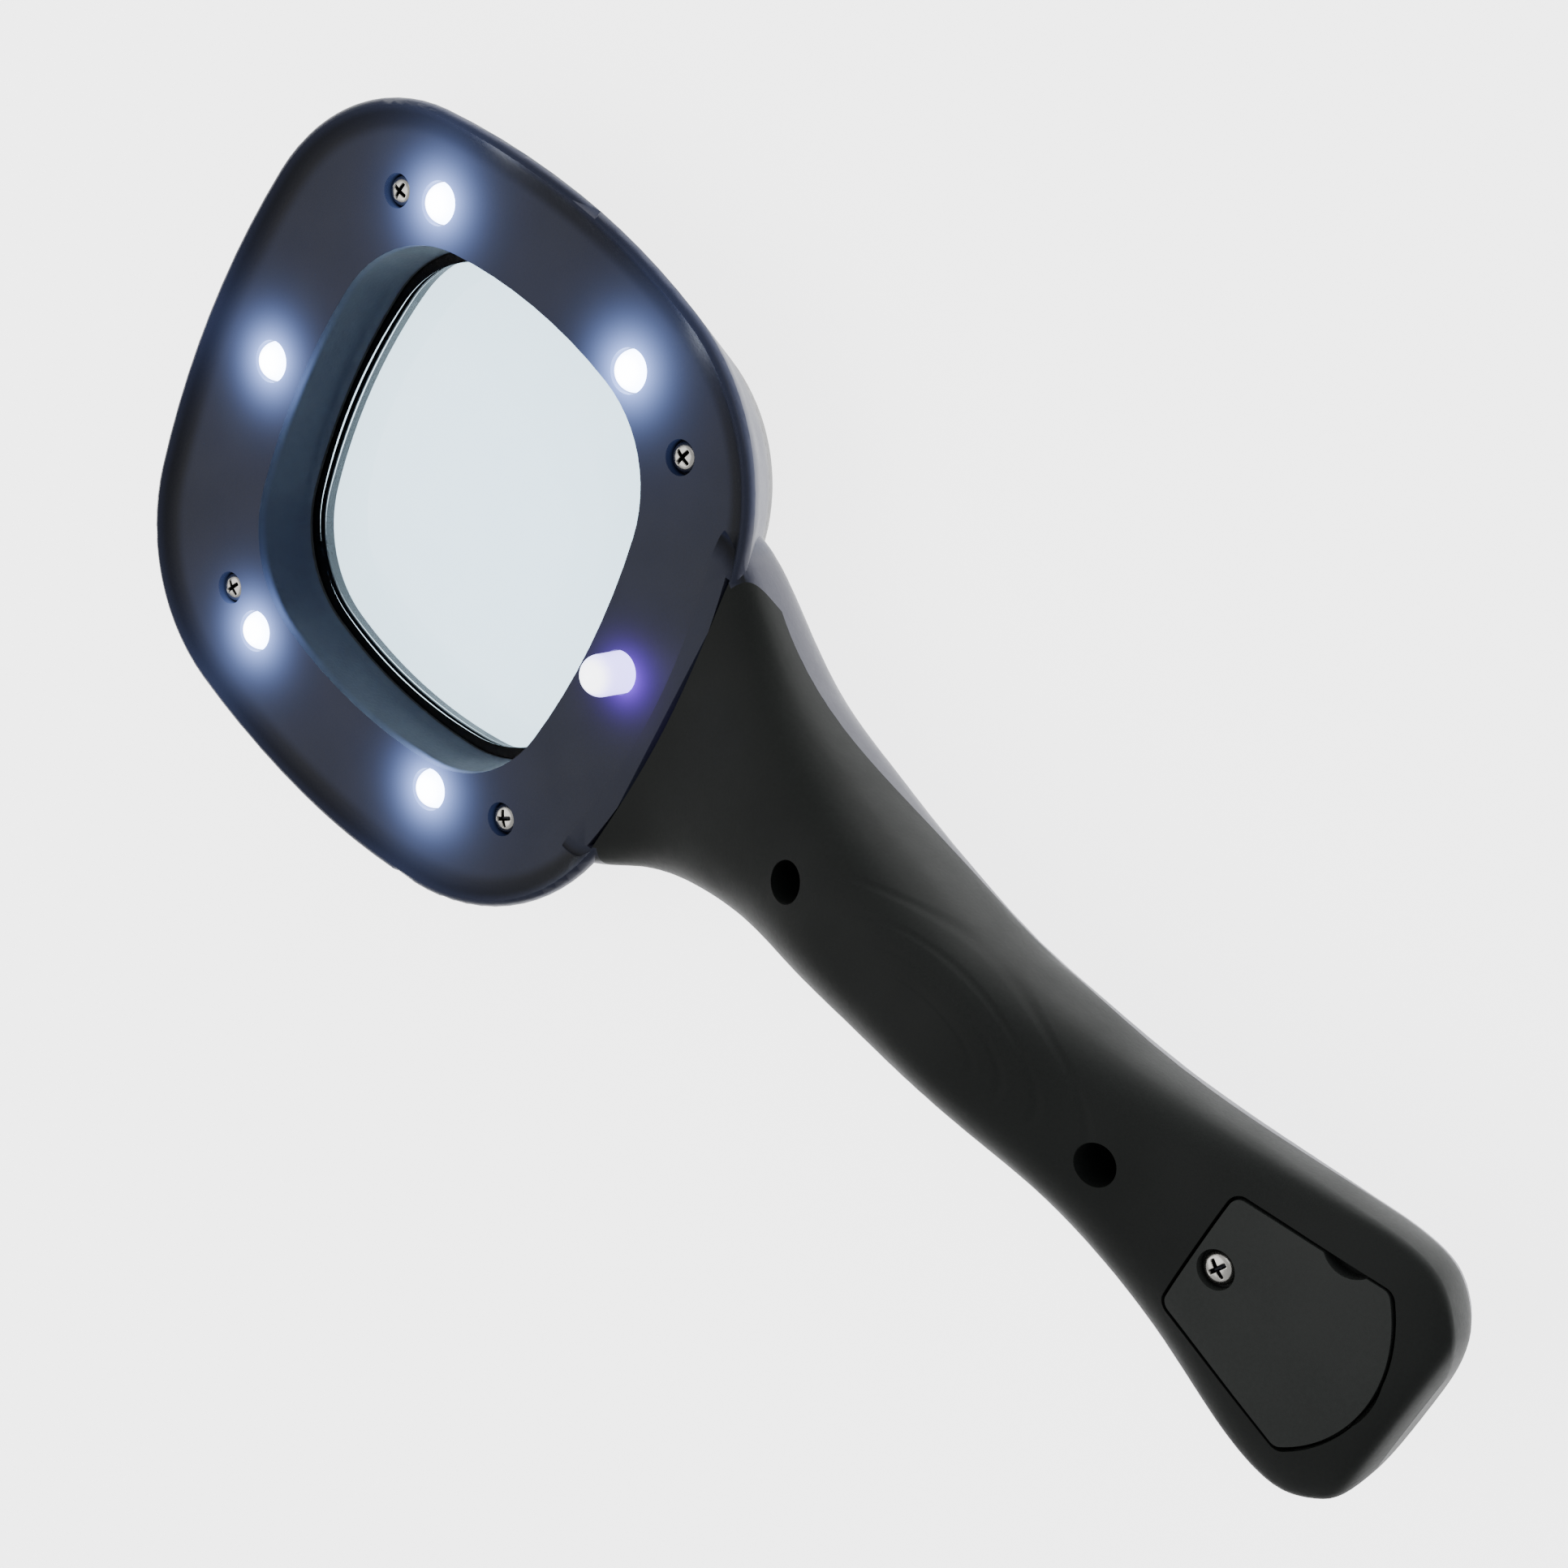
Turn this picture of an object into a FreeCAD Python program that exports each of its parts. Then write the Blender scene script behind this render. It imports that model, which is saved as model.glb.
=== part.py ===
"""Illuminated handheld magnifying glass, built as its real sub-parts.

Frame: millimetres, +Z up. The glass lies on its viewing side, so the lamp side faces up. +Y points from
the tail of the handle to the head. The origin is the centre of the bounding box, on the resting plane.
"""
import FreeCAD, Part
import math
import os

Vec = FreeCAD.Vector
os.makedirs("parts", exist_ok=True)

# ---------------------------------------------------------------- driving dimensions
LENGTH = 191.0              # tail to far edge of the head
HEAD_HALF_X = 42.0          # half width of the head at its widest level
HEAD_HALF_Y = 42.5          # half length of the head
HEAD_FAR_CORNER = 24.0      # corner radius away from the handle
HEAD_NEAR_CORNER = 27.0     # corner radius beside the handle
HEAD_BULGE = 1.6            # how far each side bows out past its corners
HEAD_WIDE_Z = 14.4          # level at which the head is widest
HEAD_TAPER = 8.2            # how far the side draws in from that level to the resting plane
LIP_RISE = 1.6              # the lip stands this far above the lamp floor
LIP_ROUND = 1.1             # outer rounding of the lip

FLOOR_Z = 14.0              # top of the lamp floor
FLOOR_T = 2.0               # lamp floor thickness
WALL = 1.8                  # shell wall
COVE_W = 3.4                # width of the cove between floor and lip

OPEN_HALF_X = 27.8          # lens opening at the lamp floor
OPEN_HALF_Y = 26.4
OPEN_CORNER = 15.5
OPEN_BULGE = 1.0
OPEN_DRAFT = 0.5            # the opening wall draws in by this much down to the lens
OPEN_WALL = 1.6

BEZEL_T = 3.5               # front bezel height
BEZEL_CLEAR = 0.15          # fitting gap round the bezel
LENS_SEAT_Z = 2.9           # underside of the lens flange
LENS_FLANGE_T = 2.4
LENS_TOP_SAG = 2.6          # how far each lens face stands out at its middle
LENS_FRONT_SAG = 2.2
LENS_EDGE_IN = 1.9          # curved zone starts this far inside the opening
GASKET_T = 0.4
APERTURE_IN = 1.7           # front aperture is this much smaller than the lens opening

BOARD_T = 1.2               # lamp board
BOARD_TOP_Z = 7.0
LED_R = 2.45                # nominal 5 mm lamps
LED_H = 8.0
LED_HOLE_CLEAR = 0.1
UV_BASE_Z = 11.3
RESISTOR = (3.2, 1.6, 0.6)

SCREW_FAR_X = 28.0          # four bezel screws, a trapezoid about the lens
SCREW_NEAR_X = 25.2
SCREW_HALF_Y = 25.0
SCREW_SHIFT_Y = -1.0        # centre of the screw pattern from the head centre
SCREW_HEAD_R = 1.75
SCREW_HEAD_T = 1.3
SCREW_SHANK_R = 0.95
SCREW_CLEAR = 0.2           # radial clearance of a through hole
WELL_R = SCREW_HEAD_R + 0.25
WELL_DROP = 0.35            # screw heads sit this far below the lamp floor
BOSS_R = WELL_R + 1.0
BEZEL_BOSS_R = 2.0
BEZEL_BOSS_CLEAR = 0.15

HANDLE_NOMINAL_L = 106.0    # handle length that the stations are laid out on
HANDLE_BACK_Z = 22.7        # back of the handle over the battery bay
SWELL_TOP_Z = 26.8          # top of the palm swell
GRIP_HALF_X = 8.9           # narrowest half width of the grip
TAIL_CORNER = 10.5
TAIL_BACK_ROUND = 2.6
TAIL_FRONT_ROUND = 7.0
SECTION_SHOULDER = 4.4      # steepness of the section where it leaves its widest level
SECTION_POWER = 2.6         # roundness of the handle section: 2 is an ellipse

COVER_GAP = 0.6             # shadow gap between the cover's end and the head
GAP_HALF_X = 18.6           # reach of the gap to each side
GAP_DEPTH = 0.3             # the gap goes this far below the lamp floor
COVER_LAP = 1.0             # the cover reaches this far onto the head's outline
COVER_WELL_R = SCREW_HEAD_R + 0.55
COVER_BOSS_R = COVER_WELL_R + 1.4
COVER_SEAT_Z = 13.0         # foot of the cover's screw tubes
COVER_SEAT_T = 1.6

DOOR_FROM_TAIL = 3.8        # battery door: its rounded end stands this far from the tail
DOOR_L = 21.4               # from the rounded end to the narrow straight edge
DOOR_HEAD_HALF_X = 7.2
DOOR_TAIL_HALF_X = 10.5
DOOR_END_SAG = 4.6          # rise of the rounded end's arc
DOOR_T = 2.1
DOOR_GAP = 0.35
DOOR_LEDGE = 1.2
DOOR_SCREW_IN = 2.6         # screw centre from the narrow edge
DOOR_SHANK_R = 0.9
DOOR_SHANK_LOW = 2.2        # how far the shank reaches below the door
DOOR_BOSS_HOLE_R = 1.25
DOOR_BOSS_R = 2.1
DOOR_BOSS_H = 3.6
TONGUE_L = 1.0
TONGUE_HALF_X = 4.0
TONGUE_T = 0.8
TONGUE_CLEAR = 0.25
NOTCH_IN = 9.7              # fingernail notch, from the rounded end along the side
NOTCH_R = 3.2
NOTCH_DEPTH = 1.0

CELL_R = 8.0                # two CR1632 coin cells
CELL_T = 3.2
CELL_FROM_TAIL = 11.55
CELL_BASE_Z = 13.2
CRADLE_CLEAR = 0.3
CRADLE_WALL = 0.6
CRADLE_FLOOR_T = 0.8
PAD_R = 4.5
CONTACT_T = 0.4
CONTACT_R = 5.5
STRIP_W = 2.4
STRIP_T = 0.2

SWITCH_AT = 35.5            # thumb slide switch on the viewing side, from the head
SWITCH_TRAVEL = 4.0
KNOB_L = 8.0
KNOB_W = 6.4
KNOB_PROUD = 1.4
RECESS_DEPTH = 1.2
RECESS_CLEAR = 0.4
STEM_W = 2.0
STEM_L = 2.4
SLOT_CLEAR = 0.3
SWITCH_BOX = (6.4, 12.0, 3.6)
PIN_PITCH = 3.0
PIN_L = 2.2

# ---------------------------------------------------------------- derived levels and places
HEAD_Y = LENGTH / 2 - HEAD_HALF_Y
TAIL_Y = -LENGTH / 2
NECK_Y = HEAD_Y - HEAD_HALF_Y
SCREW_Y = HEAD_Y + SCREW_SHIFT_Y
DOOR_TAIL_Y = TAIL_Y + DOOR_FROM_TAIL
DOOR_HEAD_Y = DOOR_TAIL_Y + DOOR_L
DOOR_SCREW_Y = DOOR_HEAD_Y - DOOR_SCREW_IN
NOTCH_Y = DOOR_TAIL_Y + NOTCH_IN
CELL_Y = TAIL_Y + CELL_FROM_TAIL
LIP_TOP = FLOOR_Z + LIP_RISE
FLOOR_UNDER = FLOOR_Z - FLOOR_T
FLANGE_TOP = LENS_SEAT_Z + LENS_FLANGE_T
WALL_FOOT = FLANGE_TOP + GASKET_T
BOARD_LOW_Z = BOARD_TOP_Z - BOARD_T
SCREW_SEAT_Z = FLOOR_Z - WELL_DROP - SCREW_HEAD_T
SCREW_TIP_Z = 2.0
DOOR_UNDER_Z = HANDLE_BACK_Z - DOOR_T
CELL_TOP_Z = CELL_BASE_Z + 2 * CELL_T


def along(distance):
    """Place on Y at a distance from the head, stretched with the handle."""
    return NECK_Y - distance * (NECK_Y - TAIL_Y) / HANDLE_NOMINAL_L


COVER_SCREW_Y = (along(23.7), along(68.0))
SWITCH_Y = along(SWITCH_AT)


def save(name, shape):
    """Write one sub-part."""
    solid = shape.removeSplitter()
    if solid.ShapeType == "Compound" and len(solid.Solids) == 1:
        solid = solid.Solids[0]
    facts = (name, len(solid.Solids), solid.isValid(), solid.Volume)
    print("%-18s solids %d  valid %s  volume %.1f" % facts)
    solid.exportStep("parts/%s.step" % name)


def box(x0, x1, y0, y1, z0, z1):
    """Axis-aligned block between two corners."""
    return Part.makeBox(x1 - x0, y1 - y0, z1 - z0, Vec(x0, y0, z0))


def rod(x, y, z0, z1, radius):
    """Upright cylinder between two levels."""
    return Part.makeCylinder(radius, z1 - z0, Vec(x, y, z0))


def arc(start, middle, end):
    return Part.Arc(start, middle, end).toShape()


def squircle(half_x, half_y, corners, bulge, z):
    """Closed outline about the head's centre, bowed on each side, with its own far and near corner radius.

    Each quadrant is three tangent arcs: half of a side, the corner and half of the next side.
    """
    edges = []
    for sx, sy in ((1, 1), (-1, 1), (-1, -1), (1, -1)):
        corner = corners[0] if sy > 0 else corners[1]
        cx = half_x - corner - bulge
        cy = half_y - corner - bulge
        side_x = cy * cy / (2 * bulge) + corner + bulge / 2
        side_y = cx * cx / (2 * bulge) + corner + bulge / 2
        turn_x = math.atan2(cy, cx - half_x + side_x)
        turn_y = math.atan2(cx, cy - half_y + side_y)

        def place(x, y):
            return Vec(sx * x, HEAD_Y + sy * y, z)

        def on_side_x(angle):
            return place(half_x - side_x + side_x * math.cos(angle), side_x * math.sin(angle))

        def on_side_y(angle):
            return place(side_y * math.sin(angle), half_y - side_y + side_y * math.cos(angle))

        middle = (turn_x + math.pi / 2 - turn_y) / 2
        bend = place(cx + corner * math.cos(middle), cy + corner * math.sin(middle))
        edges.append(arc(on_side_x(0), on_side_x(turn_x / 2), on_side_x(turn_x)))
        edges.append(arc(on_side_x(turn_x), bend, on_side_y(turn_y)))
        edges.append(arc(on_side_y(turn_y), on_side_y(turn_y / 2), on_side_y(0)))
    return Part.Wire(Part.__sortEdges__(edges))


def head_ring(inset, z):
    """Head outline drawn in by inset."""
    corners = (HEAD_FAR_CORNER - inset, HEAD_NEAR_CORNER - inset)
    return squircle(HEAD_HALF_X - inset, HEAD_HALF_Y - inset, corners, HEAD_BULGE, z)


def open_ring(grow, z):
    """Lens opening outline grown by grow."""
    corners = (OPEN_CORNER + grow, OPEN_CORNER + grow)
    return squircle(OPEN_HALF_X + grow, OPEN_HALF_Y + grow, corners, OPEN_BULGE, z)


def stack(wires):
    """Solid through parallel outlines, straight between neighbours."""
    return Part.makeLoft(wires, True, True)


def prism(wire, height):
    return Part.Face(wire).extrude(Vec(0, 0, height))


def head_side(z):
    """Inset of the head's tapered side at level z."""
    return HEAD_TAPER * max(0.0, HEAD_WIDE_Z - z) / HEAD_WIDE_Z


def head_solid():
    """Outer shape of the head: tapered side, upright band and rounded lip."""
    side = stack([head_ring(HEAD_TAPER, 0), head_ring(0, HEAD_WIDE_Z)])
    band = prism(head_ring(0, HEAD_WIDE_Z), LIP_TOP - HEAD_WIDE_Z)
    rim = [edge for edge in band.Edges if edge.BoundBox.ZMin > LIP_TOP - 0.01]
    return side.fuse(band.makeFillet(LIP_ROUND, rim)).removeSplitter()


def dish_cut():
    """Space above the lamp floor, bounded by the cove and then rising to the lip."""
    lip_inset = LIP_ROUND - 0.3
    levels = [
        head_ring(lip_inset + COVE_W, FLOOR_Z),
        head_ring(lip_inset + COVE_W * 0.35, FLOOR_Z + LIP_RISE * 0.35),
        head_ring(lip_inset, LIP_TOP),
        head_ring(lip_inset - 0.5, LIP_TOP + 2.0),
        head_ring(lip_inset - 0.6, LIP_TOP + 20.0),
    ]
    return stack(levels)


# Handle stations: distance from the head, half width, front level, back level, level of greatest width.
STATIONS = [
    (-15.5, 25.0, 0.5, 17.2, 13.4),
    (-1.5, 19.8, 0.5, 17.0, 12.8),
    (7.5, 14.4, 0.8, 18.8, 12.4),
    (18.5, 11.3, 2.4, 21.7, 12.4),
    (32.5, 9.9, 5.6, 25.3, 14.2),
    (48.5, GRIP_HALF_X, 7.3, SWELL_TOP_Z, 16.6),
    (64.5, 9.2, 7.4, 23.9, 17.0),
    (77.5, 11.0, 7.8, HANDLE_BACK_Z, 17.6),
    (92.5, 14.2, 8.6, HANDLE_BACK_Z, 20.0),
    (108.5, 16.8, 10.0, HANDLE_BACK_Z, 21.2),
]
# Joint line between the two shells, from the lip of the head down the side and along to the tail.
PARTING = [(NECK_Y + 2.5, LIP_TOP), (NECK_Y - 1.9, 11.2), (along(40.5), 11.6), (TAIL_Y - 5, 16.8)]
POCKET_SHARE = 0.72         # the hollow keeps this share of each section
POCKET_START_Y = NECK_Y - 4.5
POCKET_END_Y = TAIL_Y + 2.6
SECTION_STEP = 8.0          # spacing of the sections drawn over the handle


def handle_tables():
    """Distances along the handle, the station values and their monotone slopes."""
    places = [-along(station[0]) for station in STATIONS]
    columns = list(zip(*[station[1:] for station in STATIONS]))
    slopes = []
    for values in columns:
        rise = [(v1 - v0) / (p1 - p0) for v0, v1, p0, p1 in zip(values, values[1:], places, places[1:])]
        inner = [2 * r0 * r1 / (r0 + r1) if r0 * r1 > 0 else 0.0 for r0, r1 in zip(rise, rise[1:])]
        slopes.append([rise[0]] + inner + [rise[-1]])
    return places, columns, slopes


PLACES, COLUMNS, SLOPES = handle_tables()


def handle_at(y):
    """Half width, front level, back level and widest level at y, eased between the stations."""
    place = min(max(-y, PLACES[0]), PLACES[-1])
    i = max(k for k in range(len(PLACES) - 1) if PLACES[k] <= place)
    gap = PLACES[i + 1] - PLACES[i]
    t = (place - PLACES[i]) / gap
    row = []
    for values, slope in zip(COLUMNS, SLOPES):
        start = (1 + 2 * t) * (1 - t) ** 2 * values[i] + t * (1 - t) ** 2 * gap * slope[i]
        end = t * t * (3 - 2 * t) * values[i + 1] + t * t * (t - 1) * gap * slope[i + 1]
        row.append(start + end)
    return tuple(row)


def section_row(y):
    """Half width, lowest, highest and widest level of the handle section at y, rounded off at the tail."""
    half, low, high, mid = handle_at(y)
    share = (mid - low) / (high - low)
    left = max(0.0, y - TAIL_Y)

    def rounding(radius):
        reach = min(left, radius)
        return radius - math.sqrt(radius ** 2 - (radius - reach) ** 2)

    half -= rounding(TAIL_CORNER)
    low += rounding(TAIL_FRONT_ROUND)
    high -= rounding(TAIL_BACK_ROUND)
    return half, low, high, low + share * (high - low)


def section(y):
    """Closed handle section: a superellipse with its own upper and lower depth."""
    half, low, high, mid = section_row(y)
    count = 14
    edges = []
    for depth, turn in ((high - mid, 1), (low - mid, -1)):
        points = []
        for i in range(count + 1):
            angle = math.pi * i / count
            c, s = math.cos(angle), math.sin(angle)
            x = turn * half * math.copysign(abs(c) ** (2 / SECTION_POWER), c)
            points.append(Vec(x, y, mid + depth * abs(s) ** (2 / SECTION_POWER)))
        points[0] = Vec(turn * half, y, mid)
        points[-1] = Vec(-turn * half, y, mid)
        curve = Part.BSplineCurve()
        steps = [i / count for i in range(count + 1)]
        rise = Vec(0, 0, SECTION_SHOULDER * depth)
        ends = {"InitialTangent": rise, "FinalTangent": -rise, "Scale": False}
        curve.interpolate(Points=points, Parameters=steps, **ends)
        edges.append(curve.toShape())
    return Part.Wire(edges)


def handle_solid():
    """Handle: even sections along it, then closer ones round the tail."""
    start = along(STATIONS[0][0])
    span = start - TAIL_Y - TAIL_CORNER
    count = round(span / SECTION_STEP)
    places = [start - span * k / count for k in range(count + 1)]
    places += [TAIL_Y + TAIL_CORNER * (1 - math.sin(k * math.pi / 10)) for k in range(1, 6)]
    return Part.makeLoft([section(y) for y in places], True, False, False, 3)


def handle_pocket(shrink):
    """Hollow of the handle, flat-faced, keeping a share of each section's width and depth."""
    places = [POCKET_START_Y - (POCKET_START_Y - POCKET_END_Y) * k / 10 for k in range(11)]
    rows = [section_row(y) for y in places]
    places = [POCKET_START_Y - shrink] + places[1:-1] + [POCKET_END_Y + shrink]
    halves = [POCKET_SHARE * half - shrink for half, low, high, mid in rows]
    floors = [mid - POCKET_SHARE * (mid - low) + shrink for half, low, high, mid in rows]
    roofs = [mid + POCKET_SHARE * (high - mid) - shrink for half, low, high, mid in rows]
    plan = [Vec(x, y, -5) for x, y in zip(halves, places)]
    plan += [Vec(-x, y, -5) for x, y in zip(reversed(halves), reversed(places))]
    side = [Vec(-40, y, z) for y, z in zip(places, floors)]
    side += [Vec(-40, y, z) for y, z in zip(reversed(places), reversed(roofs))]
    plan_block = Part.Face(Part.makePolygon(plan + plan[:1])).extrude(Vec(0, 0, 60))
    side_block = Part.Face(Part.makePolygon(side + side[:1])).extrude(Vec(80, 0, 0))
    return plan_block.common(side_block)


def above_parting():
    """Everything above the joint line between the handle's two shells."""
    end = TAIL_Y - 5
    line = [Vec(0, HEAD_Y, LIP_TOP)] + [Vec(0, y, z) for y, z in PARTING]
    outline = line + [Vec(0, end, 60), Vec(0, HEAD_Y, 60), line[0]]
    block = Part.Face(Part.makePolygon(outline)).extrude(Vec(100, 0, 0))
    block.translate(Vec(-50, 0, 0))
    return block


def bezel_screw_places():
    """The four bezel screws, far pair first."""
    return [
        (-SCREW_FAR_X, SCREW_Y + SCREW_HALF_Y),
        (SCREW_FAR_X, SCREW_Y + SCREW_HALF_Y),
        (-SCREW_NEAR_X, SCREW_Y - SCREW_HALF_Y),
        (SCREW_NEAR_X, SCREW_Y - SCREW_HALF_Y),
    ]


def led_places():
    """The five white lamps around the lens opening."""
    return [
        (0.0, SCREW_Y + 32.6),
        (-30.1, SCREW_Y + 18.8),
        (30.1, SCREW_Y + 18.8),
        (-29.2, SCREW_Y - 14.2),
        (29.2, SCREW_Y - 14.2),
    ]


UV_PLACE = (0.0, SCREW_Y - 30.2)


def phillips(x, y, top, size):
    """Cross recess cut down from a screw head."""
    depth = size * 0.45
    wide = size * 1.15
    thin = size * 0.24
    bar = box(x - wide / 2, x + wide / 2, y - thin / 2, y + thin / 2, top - depth, top + 1)
    across = box(x - thin / 2, x + thin / 2, y - wide / 2, y + wide / 2, top - depth, top + 1)
    return bar.fuse(across)


def pan_screw(x, y, seat, head_r, head_t, shank_r, tip):
    """Pan-head screw with a rounded head and a cross recess."""
    head = rod(x, y, seat, seat + head_t, head_r)
    rim = [edge for edge in head.Edges if edge.BoundBox.ZMin > seat + head_t - 0.01]
    head = head.makeFillet(head_t * 0.45, rim)
    shank = rod(x, y, tip, seat, shank_r)
    return head.fuse(shank).cut(phillips(x, y, seat + head_t, head_r))


def lamp(x, y, base, height, radius):
    """Round lamp: a barrel with a domed end."""
    barrel = rod(x, y, base, base + height - radius, radius)
    dome = Part.makeSphere(radius, Vec(x, y, base + height - radius))
    return barrel.fuse(dome)


def door_outline(grow, z):
    """Shield outline: straight narrow edge, flared sides and an arched end."""
    head = DOOR_HEAD_Y + grow
    tail = DOOR_TAIL_Y - grow
    hx = DOOR_HEAD_HALF_X + grow
    tx = DOOR_TAIL_HALF_X + grow
    shoulder = tail + DOOR_END_SAG
    return Part.Wire([
        Part.LineSegment(Vec(-hx, head, z), Vec(-tx, shoulder, z)).toShape(),
        arc(Vec(-tx, shoulder, z), Vec(0, tail, z), Vec(tx, shoulder, z)),
        Part.LineSegment(Vec(tx, shoulder, z), Vec(hx, head, z)).toShape(),
        Part.LineSegment(Vec(hx, head, z), Vec(-hx, head, z)).toShape(),
    ])


def door_block(grow, z0, z1):
    """Shield prism with its upright corners rounded."""
    block = prism(door_outline(grow, z0), z1 - z0)
    upright = [edge for edge in block.Edges if edge.BoundBox.ZLength > (z1 - z0) * 0.9]
    return block.makeFillet(1.2 + max(grow, 0), upright)


# ---------------------------------------------------------------- shared solids
HEAD = head_solid()
DISH = dish_cut()
HANDLE = handle_solid()
POCKET = handle_pocket(0)
ABOVE = above_parting()


def near_side(gap):
    """Upright cylinder that follows the head's side at the handle, standing off by gap."""
    cx = HEAD_HALF_X - HEAD_NEAR_CORNER - HEAD_BULGE
    radius = cx * cx / (2 * HEAD_BULGE) + HEAD_NEAR_CORNER + HEAD_BULGE / 2
    return rod(0, HEAD_Y - HEAD_HALF_Y + radius, -5, 60, radius + gap)


def trough_floor(y):
    """Inner front level of the handle at y, on its centre line."""
    half, low, high, mid = handle_at(y)
    return mid - POCKET_SHARE * (mid - low)


def front_level(y):
    """Outer front level of the handle at y, on its centre line."""
    return handle_at(y)[1]


SWITCH_FACE_Z = front_level(SWITCH_Y)
RECESS_Z = SWITCH_FACE_Z + RECESS_DEPTH
SWITCH_FLOOR_Z = RECESS_Z + WALL
KNOB_REST_Y = SWITCH_Y + SWITCH_TRAVEL / 2


def head_cavity():
    """Hollow of the head, open to the front."""
    low = head_ring(HEAD_TAPER + WALL, -0.5)
    return stack([low, head_ring(head_side(FLOOR_UNDER) + WALL, FLOOR_UNDER)])


def bezel_seat():
    """Space that the front bezel fills, with its fitting clearance."""
    low = head_ring(HEAD_TAPER - BEZEL_CLEAR, -1)
    return stack([low, head_ring(head_side(BEZEL_T) - BEZEL_CLEAR, BEZEL_T)])


def body_shell():
    """Head ring with the lamp floor, and the front half of the handle."""
    cavity = head_cavity()
    seat = bezel_seat()
    # lens opening with a slight draft, and the space for the lens below it
    opening = stack([open_ring(-OPEN_DRAFT, WALL_FOOT), open_ring(0, FLOOR_Z), open_ring(0.2, LIP_TOP + 5)])
    below = prism(open_ring(OPEN_WALL + 1, -1), WALL_FOOT + 1)
    wall = prism(open_ring(OPEN_WALL, WALL_FOOT), FLOOR_UNDER - WALL_FOOT + 0.5)
    head = HEAD.cut(DISH).cut(cavity).cut(seat).fuse(wall).cut(opening).cut(below)
    head_block = prism(head_ring(HEAD_TAPER / 2, -5), 60)
    handle = HANDLE.cut(ABOVE).cut(head_block).cut(POCKET).cut(seat)
    outer = head.fuse(handle)
    # seat of the handle cover where it laps onto the head
    outer = outer.cut(HANDLE.common(ABOVE).cut(near_side(-COVER_LAP - COVER_GAP)))
    # shadow gap between the lamp floor and the cover's end
    half = GAP_HALF_X
    gap = near_side(-COVER_LAP).cut(near_side(-COVER_LAP - COVER_GAP))
    outer = outer.cut(gap.common(box(-half, half, NECK_Y - 1, HEAD_Y, FLOOR_Z - GAP_DEPTH, 60)))
    # wire passage through the neck
    outer = outer.cut(box(-3.5, 3.5, 5.0, HEAD_Y - HEAD_HALF_Y + 9, 6.2, 10.2))
    # screw bosses hanging from the lamp floor
    for x, y in bezel_screw_places():
        outer = outer.fuse(rod(x, y, BOARD_TOP_Z, FLOOR_UNDER + 0.5, BOSS_R))
    for x, y in bezel_screw_places():
        outer = outer.cut(rod(x, y, BOARD_TOP_Z - 1, FLOOR_Z + 1, SCREW_SHANK_R + SCREW_CLEAR))
        outer = outer.cut(rod(x, y, SCREW_SEAT_Z, FLOOR_Z + 1, WELL_R))
        outer = outer.cut(rod(x, y, -1, BOARD_LOW_Z, BEZEL_BOSS_R + BEZEL_BOSS_CLEAR))
    # lamp holes
    for x, y in led_places() + [UV_PLACE]:
        outer = outer.cut(rod(x, y, BOARD_TOP_Z, FLOOR_Z + 1, LED_R + LED_HOLE_CLEAR))
    # room for the cells at the tail
    cell_room_low = CELL_BASE_Z - CONTACT_T - CRADLE_FLOOR_T
    outer = outer.cut(rod(0, CELL_Y, cell_room_low, 30, CELL_R + CRADLE_CLEAR + 0.2))
    # bosses for the two cover screws
    for y in COVER_SCREW_Y:
        boss = rod(0, y, trough_floor(y) - 0.5, COVER_SEAT_Z, COVER_BOSS_R - 0.7)
        outer = outer.fuse(boss)
        outer = outer.cut(rod(0, y, trough_floor(y) + 0.2, COVER_SEAT_Z + 1, SCREW_SHANK_R))
    # flat recess and slot for the slide switch
    half_w = KNOB_W / 2 + RECESS_CLEAR
    half_l = (KNOB_L + SWITCH_TRAVEL) / 2 + RECESS_CLEAR
    pad = box(-half_w - WALL, half_w + WALL, SWITCH_Y - half_l - WALL, SWITCH_Y + half_l + WALL,
              SWITCH_FACE_Z + 0.4, SWITCH_FLOOR_Z)
    outer = outer.fuse(pad.common(HANDLE))
    outer = outer.cut(box(-half_w, half_w, SWITCH_Y - half_l, SWITCH_Y + half_l, -5, RECESS_Z))
    w, l, h = SWITCH_BOX
    room_y = (SWITCH_Y - l / 2, SWITCH_Y + l / 2)
    outer = outer.cut(box(-w / 2, w / 2, room_y[0], room_y[1], SWITCH_FLOOR_Z, SWITCH_FLOOR_Z + h))
    slot_l = (STEM_L + SWITCH_TRAVEL) / 2 + SLOT_CLEAR
    outer = outer.cut(box(-STEM_W / 2 - SLOT_CLEAR, STEM_W / 2 + SLOT_CLEAR,
                          SWITCH_Y - slot_l, SWITCH_Y + slot_l, -5, SWITCH_FLOOR_Z + 1))
    return outer


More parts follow.
